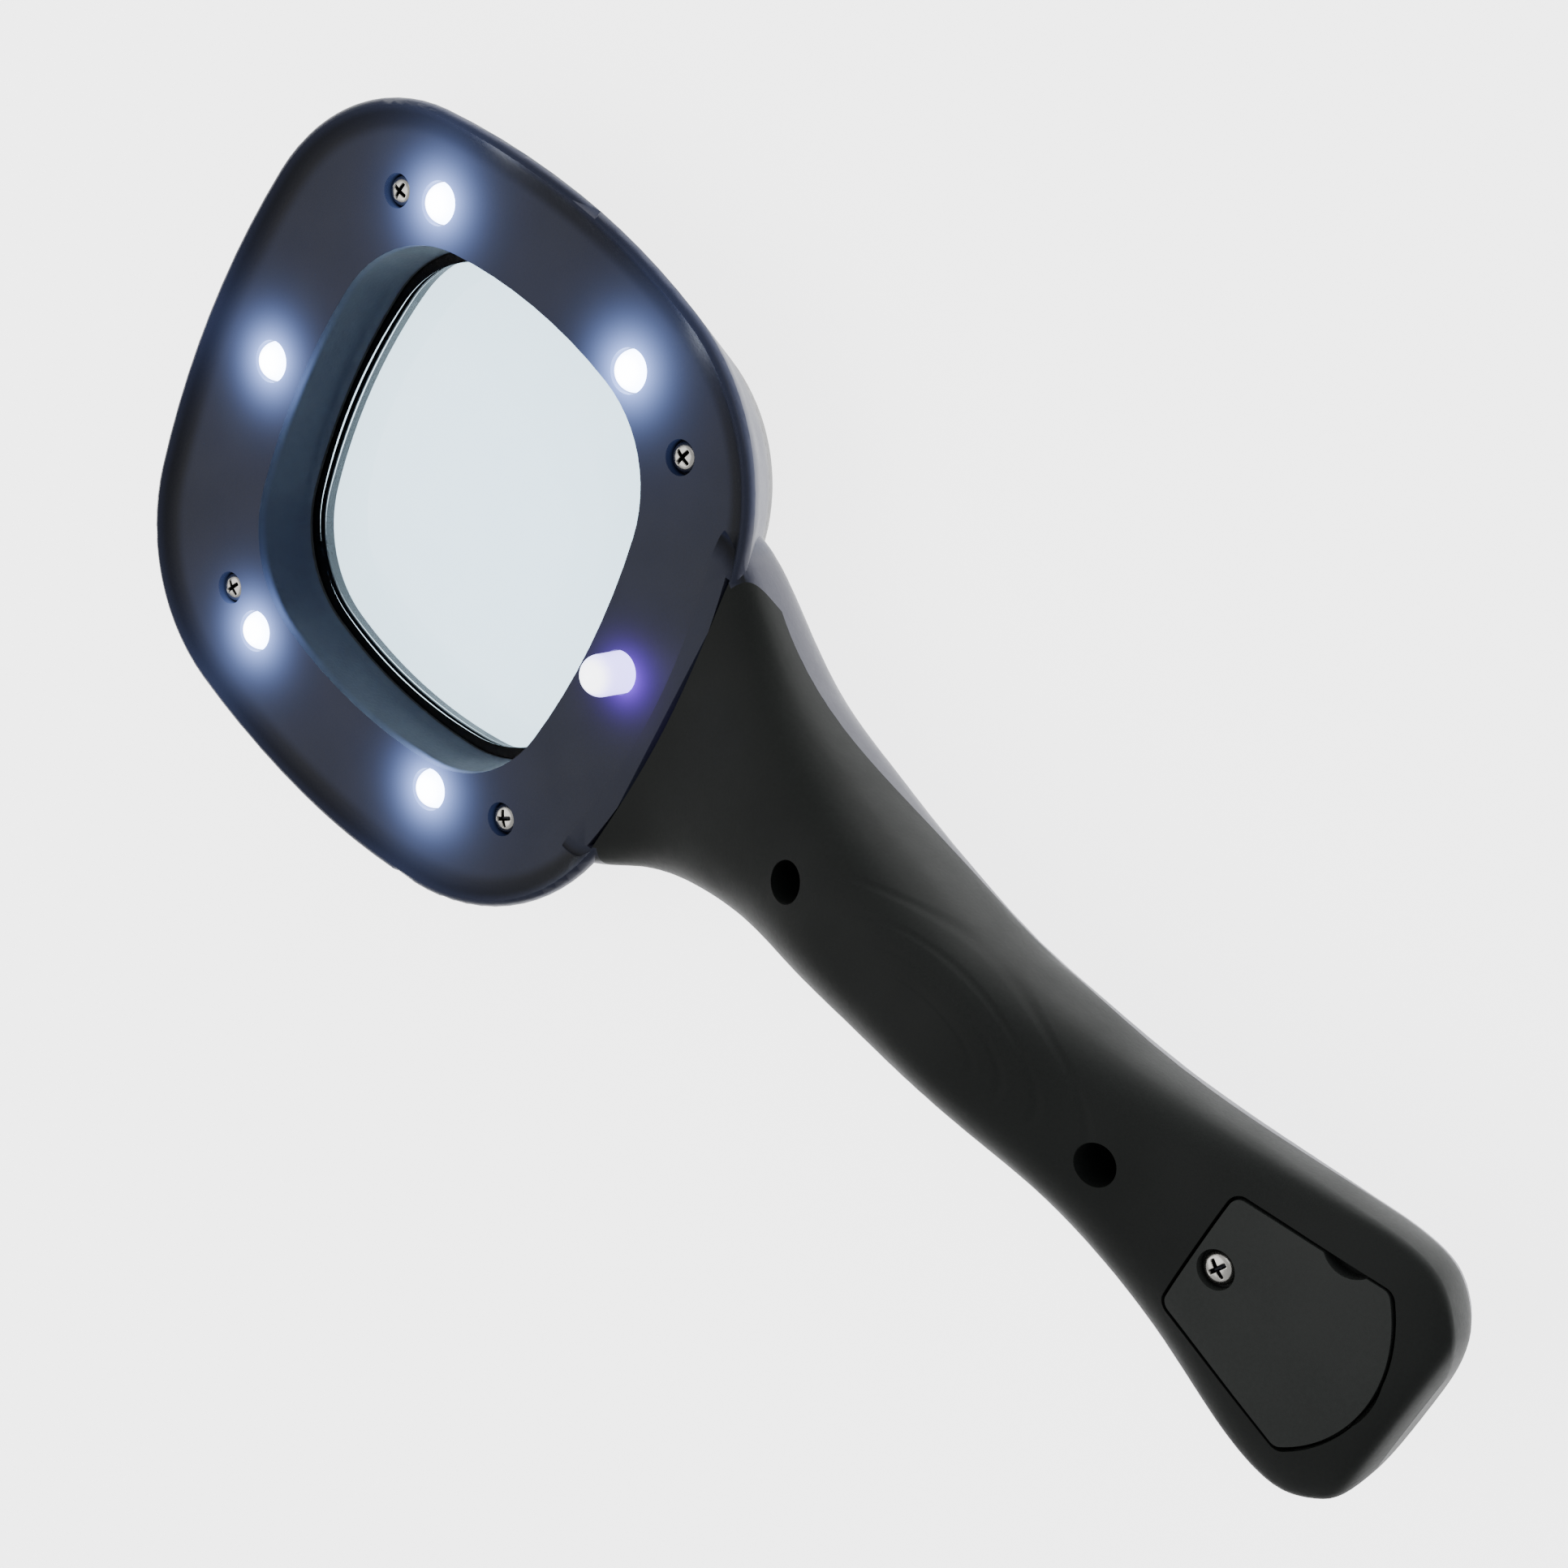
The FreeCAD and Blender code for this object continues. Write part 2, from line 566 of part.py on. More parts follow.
def handle_cover():
    """Back half of the handle: palm swell, two screw wells and the battery door seat."""
    outer = HANDLE.common(ABOVE).cut(near_side(-COVER_LAP))
    shell = outer.cut(POCKET)
    for y in COVER_SCREW_Y:
        tube = rod(0, y, COVER_SEAT_Z, HANDLE_BACK_Z + 6, COVER_BOSS_R).common(HANDLE)
        shell = shell.fuse(tube)
    for y in COVER_SCREW_Y:
        shell = shell.cut(rod(0, y, COVER_SEAT_Z + COVER_SEAT_T, 60, COVER_WELL_R))
        shell = shell.cut(rod(0, y, COVER_SEAT_Z - 1, 60, SCREW_SHANK_R + SCREW_CLEAR))
    # seat: a solid land under the door, opened for the cells
    land = door_block(DOOR_LEDGE + 0.8, DOOR_UNDER_Z - 1.8, HANDLE_BACK_Z - WALL / 2).common(HANDLE)
    shell = shell.fuse(land)
    boss = rod(0, DOOR_SCREW_Y, DOOR_UNDER_Z - DOOR_BOSS_H, DOOR_UNDER_Z, DOOR_BOSS_R)
    shell = shell.fuse(boss)
    shell = shell.cut(door_block(DOOR_GAP, DOOR_UNDER_Z, 60))
    shell = shell.cut(rod(0, CELL_Y, DOOR_UNDER_Z - 6, 60, CELL_R + CRADLE_CLEAR))
    shell = shell.cut(rod(0, DOOR_SCREW_Y, DOOR_UNDER_Z - 5, 60, DOOR_BOSS_HOLE_R))
    foot = Vec(0, DOOR_SCREW_Y, DOOR_UNDER_Z - 0.7)
    lead = Part.makeCone(DOOR_BOSS_HOLE_R, DOOR_BOSS_HOLE_R + 0.7, 0.7, foot)
    shell = shell.cut(lead)
    # slot that receives the door's tongue
    low = DOOR_UNDER_Z - TONGUE_T - TONGUE_CLEAR - 1.4
    shell = shell.cut(box(-TONGUE_HALF_X - 0.4, TONGUE_HALF_X + 0.4, DOOR_TAIL_Y - TONGUE_L - 0.45,
                          DOOR_TAIL_Y + 3.5, low, DOOR_UNDER_Z + 0.15))
    return shell


def battery_door():
    """Shield-shaped door with a tongue at its rounded end and a fingernail notch."""
    plate = door_block(0, DOOR_UNDER_Z, HANDLE_BACK_Z + 5).common(HANDLE)
    tongue = box(-TONGUE_HALF_X, TONGUE_HALF_X, DOOR_TAIL_Y - TONGUE_L, DOOR_TAIL_Y + 2.6,
                 DOOR_UNDER_Z - TONGUE_T, DOOR_UNDER_Z)
    neck = box(-TONGUE_HALF_X, TONGUE_HALF_X, DOOR_TAIL_Y + 0.3, DOOR_TAIL_Y + 2.6,
               DOOR_UNDER_Z - 0.1, DOOR_UNDER_Z + 0.5)
    door = plate.fuse(tongue.fuse(neck))
    door = door.cut(rod(0, DOOR_SCREW_Y, DOOR_UNDER_Z - 1, 60, DOOR_SHANK_R + 0.15))
    door = door.cut(rod(0, DOOR_SCREW_Y, DOOR_UNDER_Z + 0.7, 60, SCREW_HEAD_R + 0.3))
    side_x = DOOR_TAIL_HALF_X - (DOOR_TAIL_HALF_X - DOOR_HEAD_HALF_X) * 0.3
    door = door.cut(rod(side_x - NOTCH_DEPTH + NOTCH_R, NOTCH_Y, DOOR_UNDER_Z - 1, 60, NOTCH_R))
    return door


def lens():
    """Squared acrylic lens: flat flange with a curved zone on both faces."""
    flange_grow = OPEN_WALL - 0.2
    flange = prism(open_ring(flange_grow, LENS_SEAT_Z), LENS_FLANGE_T)
    zone_grow = -LENS_EDGE_IN
    corner = OPEN_CORNER + zone_grow
    inner = OPEN_CORNER + OPEN_BULGE
    reach = math.hypot(OPEN_HALF_X - inner, OPEN_HALF_Y - inner) + corner
    top_r = (reach ** 2 + LENS_TOP_SAG ** 2) / (2 * LENS_TOP_SAG)
    front_r = (reach ** 2 + LENS_FRONT_SAG ** 2) / (2 * LENS_FRONT_SAG)
    zone = prism(open_ring(zone_grow, LENS_SEAT_Z - LENS_FRONT_SAG - 1), 12)
    zone = zone.common(Part.makeSphere(top_r, Vec(0, HEAD_Y, FLANGE_TOP + LENS_TOP_SAG - top_r)))
    zone = zone.common(Part.makeSphere(front_r, Vec(0, HEAD_Y, LENS_SEAT_Z - LENS_FRONT_SAG + front_r)))
    return flange.fuse(zone)


def front_bezel():
    """Viewing-side ring that clamps the lens and takes the four screws."""
    ring = HEAD.common(box(-60, 60, HEAD_Y - 60, HEAD_Y + 60, -1, BEZEL_T))
    outer_edges = [e for e in ring.Edges if e.BoundBox.ZMax < 0.01]
    ring = ring.makeFillet(2.0, outer_edges)
    ring = ring.cut(prism(open_ring(-APERTURE_IN, -1), 10))
    ring = ring.cut(prism(open_ring(OPEN_WALL, LENS_SEAT_Z), 10))
    rib_out = head_ring(head_side(BEZEL_T) + WALL + 0.2, BEZEL_T - 0.5)
    rib_in = head_ring(head_side(BEZEL_T) + WALL + 1.4, BEZEL_T - 1)
    rib = prism(rib_out, 1.7).cut(prism(rib_in, 4))
    ring = ring.fuse(rib)
    for x, y in bezel_screw_places():
        ring = ring.fuse(rod(x, y, BEZEL_T - 1, BOARD_LOW_Z, BEZEL_BOSS_R))
    for x, y in bezel_screw_places():
        ring = ring.cut(rod(x, y, SCREW_TIP_Z - 0.3, BOARD_LOW_Z + 1, SCREW_SHANK_R))
    return ring


def led_board():
    """Ring-shaped circuit board between the bosses."""
    outer = prism(head_ring(head_side(BOARD_LOW_Z) + WALL + 0.4, BOARD_LOW_Z), BOARD_T)
    board = outer.cut(prism(open_ring(OPEN_WALL + 0.3, BOARD_LOW_Z - 1), 5))
    for x, y in bezel_screw_places():
        board = board.cut(rod(x, y, BOARD_LOW_Z - 1, BOARD_TOP_Z + 1, SCREW_SHANK_R + SCREW_CLEAR))
    return board


def lens_gasket():
    """Thin ring between the opening wall and the lens flange."""
    ring = prism(open_ring(OPEN_WALL - 0.3, FLANGE_TOP), GASKET_T)
    return ring.cut(prism(open_ring(-OPEN_DRAFT, FLANGE_TOP - 1), 5))


def slide_knob():
    """Ribbed thumb slider with a stem through the shell."""
    top = RECESS_Z - 0.1
    low = SWITCH_FACE_Z - KNOB_PROUD
    pad = box(-KNOB_W / 2, KNOB_W / 2, KNOB_REST_Y - KNOB_L / 2, KNOB_REST_Y + KNOB_L / 2, low, top)
    edges = [e for e in pad.Edges if e.BoundBox.ZMax < low + 0.01]
    pad = pad.makeFillet(0.5, edges)
    for i in range(-2, 3):
        y = KNOB_REST_Y + i * 1.3
        pad = pad.cut(box(-KNOB_W, KNOB_W, y - 0.25, y + 0.25, low - 1, low + 0.45))
    stem = box(-STEM_W / 2, STEM_W / 2, KNOB_REST_Y - STEM_L / 2, KNOB_REST_Y + STEM_L / 2,
               top - 0.1, SWITCH_FLOOR_Z + 1.6)
    return pad.fuse(stem)


def switch_body():
    """Slide switch case with a slot for the stem."""
    w, l, h = SWITCH_BOX
    case = box(-w / 2, w / 2, SWITCH_Y - l / 2, SWITCH_Y + l / 2, SWITCH_FLOOR_Z, SWITCH_FLOOR_Z + h)
    slot_l = (STEM_L + SWITCH_TRAVEL) / 2 + SLOT_CLEAR
    slot = box(-STEM_W / 2 - SLOT_CLEAR, STEM_W / 2 + SLOT_CLEAR, SWITCH_Y - slot_l, SWITCH_Y + slot_l,
               SWITCH_FLOOR_Z - 1, SWITCH_FLOOR_Z + 2.0)
    return case.cut(slot)


def switch_terminals():
    """Three pins on the back of the switch."""
    w, l, h = SWITCH_BOX
    base = SWITCH_FLOOR_Z + h
    frame = box(-1.4, 1.4, SWITCH_Y - 3.6, SWITCH_Y + 3.6, base, base + 0.5)
    for y in (SWITCH_Y - PIN_PITCH, SWITCH_Y, SWITCH_Y + PIN_PITCH):
        frame = frame.fuse(box(-0.6, 0.6, y - 0.2, y + 0.2, base, base + PIN_L))
    return frame


def battery_cradle():
    """Cup for the two coin cells, shaped to the inside of the handle."""
    inner_r = CELL_R + CRADLE_CLEAR
    low = CELL_BASE_Z - CONTACT_T - CRADLE_FLOOR_T
    cup = rod(0, CELL_Y, low, DOOR_UNDER_Z - 2.2, inner_r + CRADLE_WALL)
    cup = cup.cut(rod(0, CELL_Y, low + CRADLE_FLOOR_T, 60, inner_r))
    return cup.common(handle_pocket(0.05))


def negative_contact():
    """Flat contact plate under the lower cell."""
    base = CELL_BASE_Z - CONTACT_T
    return rod(0, CELL_Y, base, CELL_BASE_Z, CONTACT_R)


def positive_contact():
    """Upright strip that touches the side of the cells."""
    inner = CELL_Y + CELL_R
    low = CELL_BASE_Z + CONTACT_T
    return box(-STRIP_W / 2, STRIP_W / 2, inner, inner + STRIP_T, low, DOOR_UNDER_Z - 2.0)


def main():
    save("body_shell", body_shell())
    save("handle_cover", handle_cover())
    save("battery_door", battery_door())
    save("front_bezel", front_bezel())
    save("lens", lens())
    save("lens_gasket", lens_gasket())
    save("led_board", led_board())
    for number, (x, y) in enumerate(led_places(), 1):
        save("white_led_%d" % number, lamp(x, y, BOARD_TOP_Z, LED_H, LED_R))
    uv = lamp(UV_PLACE[0], UV_PLACE[1], UV_BASE_Z, LED_H, LED_R)
    for side in (-1, 1):
        uv = uv.fuse(box(side * 1.27 - 0.25, side * 1.27 + 0.25, UV_PLACE[1] - 0.25, UV_PLACE[1] + 0.25,
                         BOARD_TOP_Z, UV_BASE_Z + 0.5))
    save("uv_led", uv)
    for number, (x, y) in enumerate(bezel_screw_places(), 1):
        save("bezel_screw_%d" % number,
             pan_screw(x, y, SCREW_SEAT_Z, SCREW_HEAD_R, SCREW_HEAD_T, SCREW_SHANK_R, SCREW_TIP_Z))
    for number, y in enumerate(COVER_SCREW_Y, 1):
        seat = COVER_SEAT_Z + COVER_SEAT_T
        save("cover_screw_%d" % number,
             pan_screw(0, y, seat, SCREW_HEAD_R, SCREW_HEAD_T, SCREW_SHANK_R, trough_floor(y) + 0.4))
    door_seat = DOOR_UNDER_Z + 0.7
    save("door_screw", pan_screw(0, DOOR_SCREW_Y, door_seat, SCREW_HEAD_R, 1.2, DOOR_SHANK_R,
                                 DOOR_UNDER_Z - DOOR_SHANK_LOW))
    for number in range(2):
        base = CELL_BASE_Z + number * CELL_T
        cell = rod(0, CELL_Y, base, base + CELL_T - 0.4, CELL_R - 0.6)
        can = rod(0, CELL_Y, base + 0.4, base + CELL_T, CELL_R)
        save("coin_cell_%d" % (number + 1), can.fuse(cell))
    save("door_pad", rod(0, CELL_Y, CELL_TOP_Z + 0.1, DOOR_UNDER_Z, PAD_R))
    save("battery_cradle", battery_cradle())
    save("negative_contact", negative_contact())
    save("positive_contact", positive_contact())
    save("slide_knob", slide_knob())
    save("switch_body", switch_body())
    save("switch_terminals", switch_terminals())
    l, w, t = RESISTOR
    for number, x in enumerate((-8.0, 8.0), 1):
        y = UV_PLACE[1]
        save("resistor_%d" % number,
             box(x - l / 2, x + l / 2, y - w / 2, y + w / 2, BOARD_TOP_Z, BOARD_TOP_Z + t))


if __name__ == "__main__":
    main()
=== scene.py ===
# %% [markdown]
# # An illuminated magnifying glass
#
# The glass lies on its viewing side, so the lamps, the four bezel screws and the back of the handle
# look up. The engineering model gives every shape its size and place. This lesson loads it as a
# fixed frame, and then gives it surfaces, finishes, light and a camera.

# %% Load the engineering model
import math

import bmesh
import bpy
import numpy as np
from mathutils import Matrix, Vector


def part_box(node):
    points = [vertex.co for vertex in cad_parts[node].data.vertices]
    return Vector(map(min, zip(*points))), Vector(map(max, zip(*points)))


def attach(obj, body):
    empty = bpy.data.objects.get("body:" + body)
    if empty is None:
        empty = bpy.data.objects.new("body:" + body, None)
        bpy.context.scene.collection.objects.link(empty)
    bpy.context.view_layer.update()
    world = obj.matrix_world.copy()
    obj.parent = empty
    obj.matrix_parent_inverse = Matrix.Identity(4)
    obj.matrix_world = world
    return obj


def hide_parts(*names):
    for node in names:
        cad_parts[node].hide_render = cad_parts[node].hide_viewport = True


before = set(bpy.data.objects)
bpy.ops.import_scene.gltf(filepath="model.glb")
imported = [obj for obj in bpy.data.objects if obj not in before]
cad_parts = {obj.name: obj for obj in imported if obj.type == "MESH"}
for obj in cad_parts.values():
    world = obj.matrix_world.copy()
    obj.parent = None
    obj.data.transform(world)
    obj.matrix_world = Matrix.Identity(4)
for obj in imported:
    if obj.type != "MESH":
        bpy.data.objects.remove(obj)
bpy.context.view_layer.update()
print("parts in the frame:", len(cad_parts))

# %% [markdown]
# ## Where the camera stands
#
# A small object that is looked at closely shows strong perspective. The camera is therefore placed
# by three plain facts: where its eye is, which point of the table it looks at, and which way is up
# in the picture. The last one matters here, because the camera is rolled over by about a hundred
# degrees, so the handle runs down to the right.

# %% Camera
EYE = Vector((0.144458, -0.126472, 0.260363))
AIM = Vector((-0.004553, 0.004026, 0.0))
PICTURE_UP = Vector((0.78023, 0.60936, -0.14112))
SENSOR_MM = 36.0
LENS_MM = 66.27


def turn_towards(eye, aim, up):
    """Rotation whose third axis points from the aim back to the eye and whose second is nearest to up."""
    back = (eye - aim).normalized()
    right = up.cross(back).normalized()
    return Matrix((right, back.cross(right), back)).transposed().to_4x4()


camera_data = bpy.data.cameras.new("camera")
camera_data.sensor_width = SENSOR_MM
camera_data.lens = LENS_MM
camera_data.clip_start = 0.01
camera_data.clip_end = 10.0
camera = bpy.data.objects.new("camera", camera_data)
bpy.context.scene.collection.objects.link(camera)
camera.matrix_world = Matrix.Translation(EYE) @ turn_towards(EYE, AIM, PICTURE_UP)
bpy.context.scene.camera = camera
print("camera stands", round((EYE - AIM).length, 3), "m from the point it looks at")

# %% [markdown]
# ## Shader arithmetic in plain Python
#
# A procedural finish is a formula over the surface: noise, distances and smooth steps. Wiring Math
# nodes by hand hides the formula, so one small class wraps a socket and lets + - * / and ** add the
# nodes. Colours never go through it, because a Math node would turn them grey.


# %% The two helper classes
class Field:
    """A number that varies over the surface."""

    def __init__(self, finish, socket):
        self.finish = finish
        self.socket = socket

    def reckon(self, operation, first, second):
        node = self.finish.add("ShaderNodeMath", {"operation": operation}, {0: first, 1: second})
        return Field(self.finish, node.outputs[0])

    def __add__(self, other):
        return self.reckon("ADD", self, other)

    def __sub__(self, other):
        return self.reckon("SUBTRACT", self, other)

    def __mul__(self, other):
        return self.reckon("MULTIPLY", self, other)

    def __truediv__(self, other):
        return self.reckon("DIVIDE", self, other)

    def __pow__(self, other):
        return self.reckon("POWER", self, other)

    def __rpow__(self, other):
        return self.reckon("POWER", other, self)

    def __radd__(self, other):
        return self.reckon("ADD", other, self)

    def __rsub__(self, other):
        return self.reckon("SUBTRACT", other, self)

    def __rmul__(self, other):
        return self.reckon("MULTIPLY", other, self)


class Finish:
    """One material: its node tree, and the few ways in which this lesson adds to it."""

    def __init__(self, name):
        self.material = bpy.data.materials.new(name)
        self.material.use_nodes = True
        self.tree = self.material.node_tree
        self.tree.nodes.clear()

    def add(self, kind, settings, values):
        """A node of this kind: its settings first, then its sockets' values or links."""
        node = self.tree.nodes.new(kind)
        for key, value in settings.items():
            setattr(node, key, value)
        for key, value in values.items():
            if isinstance(value, Field):
                self.tree.links.new(value.socket, node.inputs[key])
            elif isinstance(value, bpy.types.NodeSocket):
                self.tree.links.new(value, node.inputs[key])
            else:
                node.inputs[key].default_value = value
        return node

    def place(self):
        """The point's own place on the object, in metres."""
        return self.add("ShaderNodeTexCoord", {}, {}).outputs["Object"]

    def axes(self):
        """The three numbers of that place."""
        split = self.add("ShaderNodeSeparateXYZ", {}, {0: self.place()})
        return [Field(self, split.outputs[i]) for i in range(3)]

    def noise(self, scale, detail=3.0):
        """Soft noise between 0 and 1, with this many waves to the metre."""
        node = self.add("ShaderNodeTexNoise", {}, {"Vector": self.place(), "Scale": scale, "Detail": detail})
        return Field(self, node.outputs[0])

    def step(self, value, start, end):
        """0 below start, 1 above end, with a smooth rise between."""
        node = self.add("ShaderNodeMapRange", {"interpolation_type": "SMOOTHSTEP"},
                        {0: value, 1: start, 2: end, 3: 0.0, 4: 1.0})
        return Field(self, node.outputs[0])

    def mix(self, share, first, second):
        """Colour between two colours."""
        return self.blend("MIX", share, first, second)

    def blend(self, way, share, first, second):
        """Colour that is the first with a share of the second, laid over it this way."""
        settings = {"data_type": "RGBA", "blend_type": way, "clamp_factor": False}
        node = self.add("ShaderNodeMix", settings, {0: share, 6: first, 7: second})
        return node.outputs[2]

    def relief(self, height, distance):
        """Surface normal of a fine relief that is this many metres deep."""
        node = self.add("ShaderNodeBump", {}, {"Strength": 1.0, "Distance": distance, "Height": height})
        return node.outputs[0]

    def close(self, values):
        """The surface shader with these values, joined to the output."""
        shader = self.add("ShaderNodeBsdfPrincipled", {}, values)
        self.add("ShaderNodeOutputMaterial", {}, {0: shader.outputs[0]})
        return self.material


def colour(red, green, blue):
    """Screen colour (0 to 255) as the linear colour that light works with."""
    share = np.array([red, green, blue]) / 255
    linear = np.where(share <= 0.04045, share / 12.92, ((share + 0.055) / 1.055) ** 2.4)
    return (float(linear[0]), float(linear[1]), float(linear[2]), 1.0)


print("body charcoal in linear numbers:", [round(v, 4) for v in colour(22, 26, 41)[:3]])

# %% [markdown]
# ## Moulded plastic
#
# All the housings are spark-eroded ABS: a soft satin with a grain of a few hundredths of a
# millimetre. Three scales of noise make it: a slow drift of shade as the melt cooled, the fine grain
# as a relief, and a little roughness that follows handling. The same recipe serves each housing with
# its own colours, because real housings share a tool finish but not always a pigment.


# %% The plastic recipe
def moulded(finish, dark, light, rough, extra_height=0.0, grain=0.000012, painted_light_and_shade=(), gloss=0.2, painted_lamp_light=None):
    """Satin plastic: colour drifts from dark to light, grain is the relief's depth in metres."""
    drift = finish.noise(45, 2)
    speck = finish.noise(2400, 4)
    rub = finish.noise(160, 3)
    base = finish.mix(finish.step(drift * 0.7 + speck * 0.3, 0.3, 0.7), dark, light)
    # Painted light and shade: each mask lays a lighter or darker tone where light falls or shade gathers.
    for mask, tone in painted_light_and_shade:
        base = finish.mix(mask, base, tone)
    height = speck * grain + extra_height
    values = {
        "Base Color": base,
        "Roughness": rough + (rub - 0.5) * 0.16 + (speck - 0.5) * 0.1,
        "Normal": finish.relief(height, 1.0),
        "Specular IOR Level": gloss,
    }
    # Painted lamp light: this emission makes the plastic glow where the lamps would light it.
    if painted_lamp_light is not None:
        values["Emission Color"] = painted_lamp_light
        values["Emission Strength"] = 1.0
    return finish.close(values)


# %% [markdown]
# ## Body of the head
#
# The head's ring is blue-tinged charcoal. The outer sides and the wall of the lens opening are the
# same moulding, with painted light: they are coloured lighter, as if they caught more light, and the
# cove under the lip gets painted shade. Height and steepness tell them apart: the steepness comes
# from the surface's own normal. Each lamp also paints a halo of light on the plastic as emission,
# whose light falls off as e to the power of -(distance / fall).

# %% Body finish
E = 2.718
COVE_START, COVE_END = (0.01402, 0.0144), (0.0148, 0.0156)
HEAD_START = (0.0135, 0.016)
OPENING_START, OPENING_END = (0.0045, 0.0062), (0.0149, 0.0155)
DECK = (0.0125, 0.0135)
WHITE_LAMPS = ("white_led_1", "white_led_2", "white_led_3", "white_led_4", "white_led_5")
GLOW_FALL, GLOW_SHARE = 0.0018, 2.3
WIDE_FALL, WIDE_SHARE = 0.0052, 0.16
VIOLET_FALL, VIOLET_SHARE = 0.0013, 0.9
VIOLET_SHIFT = 0.0012
BLACK = (0.0, 0.0, 0.0, 1.0)

body = Finish("body_plastic_finish")
x, y, z = body.axes()
normal = body.add("ShaderNodeNewGeometry", {}, {}).outputs["Normal"]
facing = body.add("ShaderNodeSeparateXYZ", {}, {0: normal})
level = Field(body, facing.outputs[2])
steep = 1.0 - body.step(level, 0.25, 0.97)
# Painted shade: the cove under the lip is darkened.
painted_cove_shade = body.step(z, *COVE_START) * (1.0 - body.step(z, *COVE_END)) * body.step(level, 0.6, 0.8)
inside = body.step(y, *HEAD_START) * body.step(z, *OPENING_START) * (1.0 - body.step(z, *OPENING_END))
# Painted light: the steep walls of the lens opening are lightened.
painted_wall_light = steep * inside
# Painted lamp light: each lamp's pool of light on the ring is worked out here and laid on as emission.
glow = x * 0.0
wide = x * 0.0
for name in WHITE_LAMPS:
    low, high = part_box(name)
    centre = (low + high) / 2
    gap = ((x - centre.x) ** 2.0 + (y - centre.y) ** 2.0) ** 0.5 - (high.x - low.x) / 2
    glow = glow + E ** (gap * (-1.0 / GLOW_FALL))
    wide = wide + E ** (gap * (-1.0 / WIDE_FALL))
above = body.step(z, *DECK)
uv_low, uv_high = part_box("uv_led")
centre = (uv_low + uv_high) / 2
uv_gap = ((x - centre.x) ** 2.0 + (y - centre.y + VIOLET_SHIFT) ** 2.0) ** 0.5 - (uv_high.x - uv_low.x) / 2
violet = E ** (uv_gap * (-1.0 / VIOLET_FALL)) * above
painted_lamp_light = body.mix(glow * above * GLOW_SHARE, BLACK, colour(138, 164, 238))
painted_lamp_light = body.blend("ADD", wide * above * WIDE_SHARE, painted_lamp_light, colour(60, 92, 190))
painted_lamp_light = body.blend("ADD", violet * VIOLET_SHARE, painted_lamp_light, colour(100, 38, 208))
# Painted sheen: the outer sides are lightened where they turn away from the top.
painted_edge_sheen = (1.0 - body.step(level, 0.2, 0.95)) * (1.0 - inside)
painted_light_and_shade = ((painted_edge_sheen, colour(54, 55, 66)), (painted_wall_light, colour(32, 38, 60)), (painted_cove_shade, colour(6, 8, 14)))
BODY = moulded(body, colour(22, 26, 41), colour(28, 33, 50), 0.42, painted_light_and_shade=painted_light_and_shade, painted_lamp_light=painted_lamp_light)
print("body finish has", len(body.tree.nodes), "nodes")

# %% [markdown]
# ## Back of the handle
#
# The cover and the battery door are greener than the body, and the door is the lighter of the two.
# The palm swell wears four nested ripples: fine lines that are pressed into the tool, deepest on one
# flank, fading at both ends. A groove could be cut into the mesh, but a line under half a millimetre
# wide is finer than the mesh, so it is a relief. Its formula is the distance from an oval, measured
# across the line.

# %% Cover and door finishes
SWELL_Y = -0.035
RIPPLES = ((0.0031, 0.0075), (0.0050, 0.0108), (0.0068, 0.0150), (0.0086, 0.0210))
LINE_HALF = 0.00022
LINE_DEPTH = 0.00006
FADE_SLANT = -0.35

cover = Finish("cover_plastic_finish")
x, y, z = cover.axes()
groove = x * 0.0
for half_x, half_y in RIPPLES:
    oval = ((x / half_x) ** 2.0 + ((y - SWELL_Y) / half_y) ** 2.0) ** 0.5
    away = (((oval - 1.0) * half_x) ** 2.0) ** 0.5
    along = (y - SWELL_Y) / half_y
    fade = cover.step(x / half_x + along * FADE_SLANT, 0.0, 0.5)
    groove = groove + (1.0 - cover.step(away, 0.0, LINE_HALF * 2)) * fade
COVER = moulded(cover, colour(21, 23, 22), colour(27, 29, 28), 0.55,
                extra_height=groove * -LINE_DEPTH, gloss=0.1)

door = Finish("door_plastic_finish")
DOOR = moulded(door, colour(38, 40, 39), colour(45, 47, 46), 0.52, gloss=0.1)

# %% [markdown]
# ## Front bezel, slider, switch and cradle
#
# These are separate mouldings. The bezel matches the body. The slider is smoother, because thumbs
# polish it, and the hidden pieces keep a plain dull tool finish.

# %% Small mouldings
BEZEL = moulded(Finish("bezel_plastic_finish"), colour(17, 19, 25), colour(23, 25, 33), 0.4)
KNOB = moulded(Finish("knob_plastic_finish"), colour(30, 30, 33), colour(40, 40, 44), 0.34, grain=0.000008)
SWITCH = moulded(Finish("switch_case_finish"), colour(24, 24, 25), colour(33, 33, 34), 0.5)
CRADLE = moulded(Finish("cradle_plastic_finish"), colour(196, 194, 186), colour(212, 210, 202), 0.5)
PAD = moulded(Finish("pad_foam_finish"), colour(46, 46, 48), colour(64, 64, 66), 0.9, grain=0.00008)
RUBBER = moulded(Finish("gasket_rubber_finish"), colour(20, 20, 22), colour(30, 30, 32), 0.7, grain=0.00003)
CHIP = moulded(Finish("resistor_finish"), colour(22, 24, 28), colour(38, 40, 46), 0.35)

# %% [markdown]
# ## Lamp board
#
# Glass-epoxy board under green solder mask. It is hidden in normal use, but anyone who takes the
# bezel off sees it, so it has the weave of the glass cloth under its lacquer.

# %% Board finish
board = Finish("circuit_board_finish")
bands = board.add("ShaderNodeTexWave", {"wave_type": "BANDS"}, {
    "Vector": board.place(), "Scale": 900.0, "Distortion": 0.6})
weave = Field(board, bands.outputs["Fac"])
BOARD = board.close({
    "Base Color": board.mix(board.noise(70) * 0.6 + weave * 0.3, colour(10, 62, 36), colour(26, 96, 58)),
    "Roughness": 0.3 + board.noise(500) * 0.12,
    "Normal": board.relief(weave * 0.00001, 1.0),
    "Coat Weight": 0.4,
})
